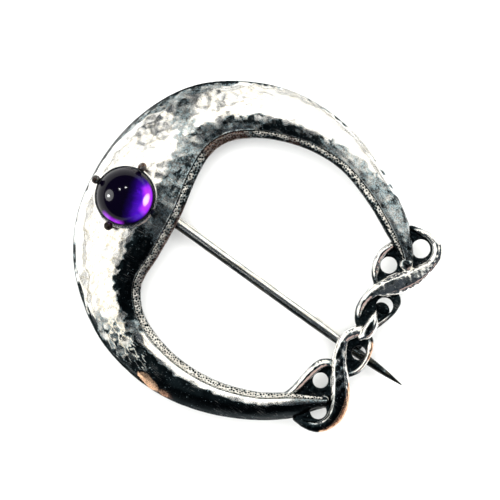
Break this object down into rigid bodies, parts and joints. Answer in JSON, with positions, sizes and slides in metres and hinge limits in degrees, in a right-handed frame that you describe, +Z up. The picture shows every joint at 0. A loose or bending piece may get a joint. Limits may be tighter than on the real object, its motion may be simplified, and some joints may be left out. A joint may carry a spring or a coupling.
{
  "type": "ring brooch",
  "caption": "Hammered silver ring brooch: a domed crescent with a round amethyst, two tapering arms joined by a pierced interlaced knot, and a hinged pin behind.",
  "frame": {"origin": "centre of the bounding box at the level of the surface the brooch lies on", "axes": "+X from the stone towards the knot and the pin's point, +Y across the brooch, +Z up, out of its front"},
  "size_m": [0.0462, 0.0406, 0.0087],
  "materials": {
    "silver": "hammered silver, darkened in the hollows",
    "stone": "polished amethyst cabochon",
    "pin": "drawn silver wire, worn smooth",
    "rivet": "silver, dull"
  },
  "bodies": {
    "brooch": {"brooch_frame": "silver", "amethyst": "stone", "hinge_rivet": "rivet"},
    "pin": {"pin_stem": "pin"}
  },
  "joints": [
    {"name": "pin_swing", "type": "hinge", "parent": "brooch", "child": "pin", "pos_m": [-0.01545, -0.00049, 0.0022], "axis": [0.0787, 0.762, -0.6428], "range_deg": [0, 110]}
  ]
}
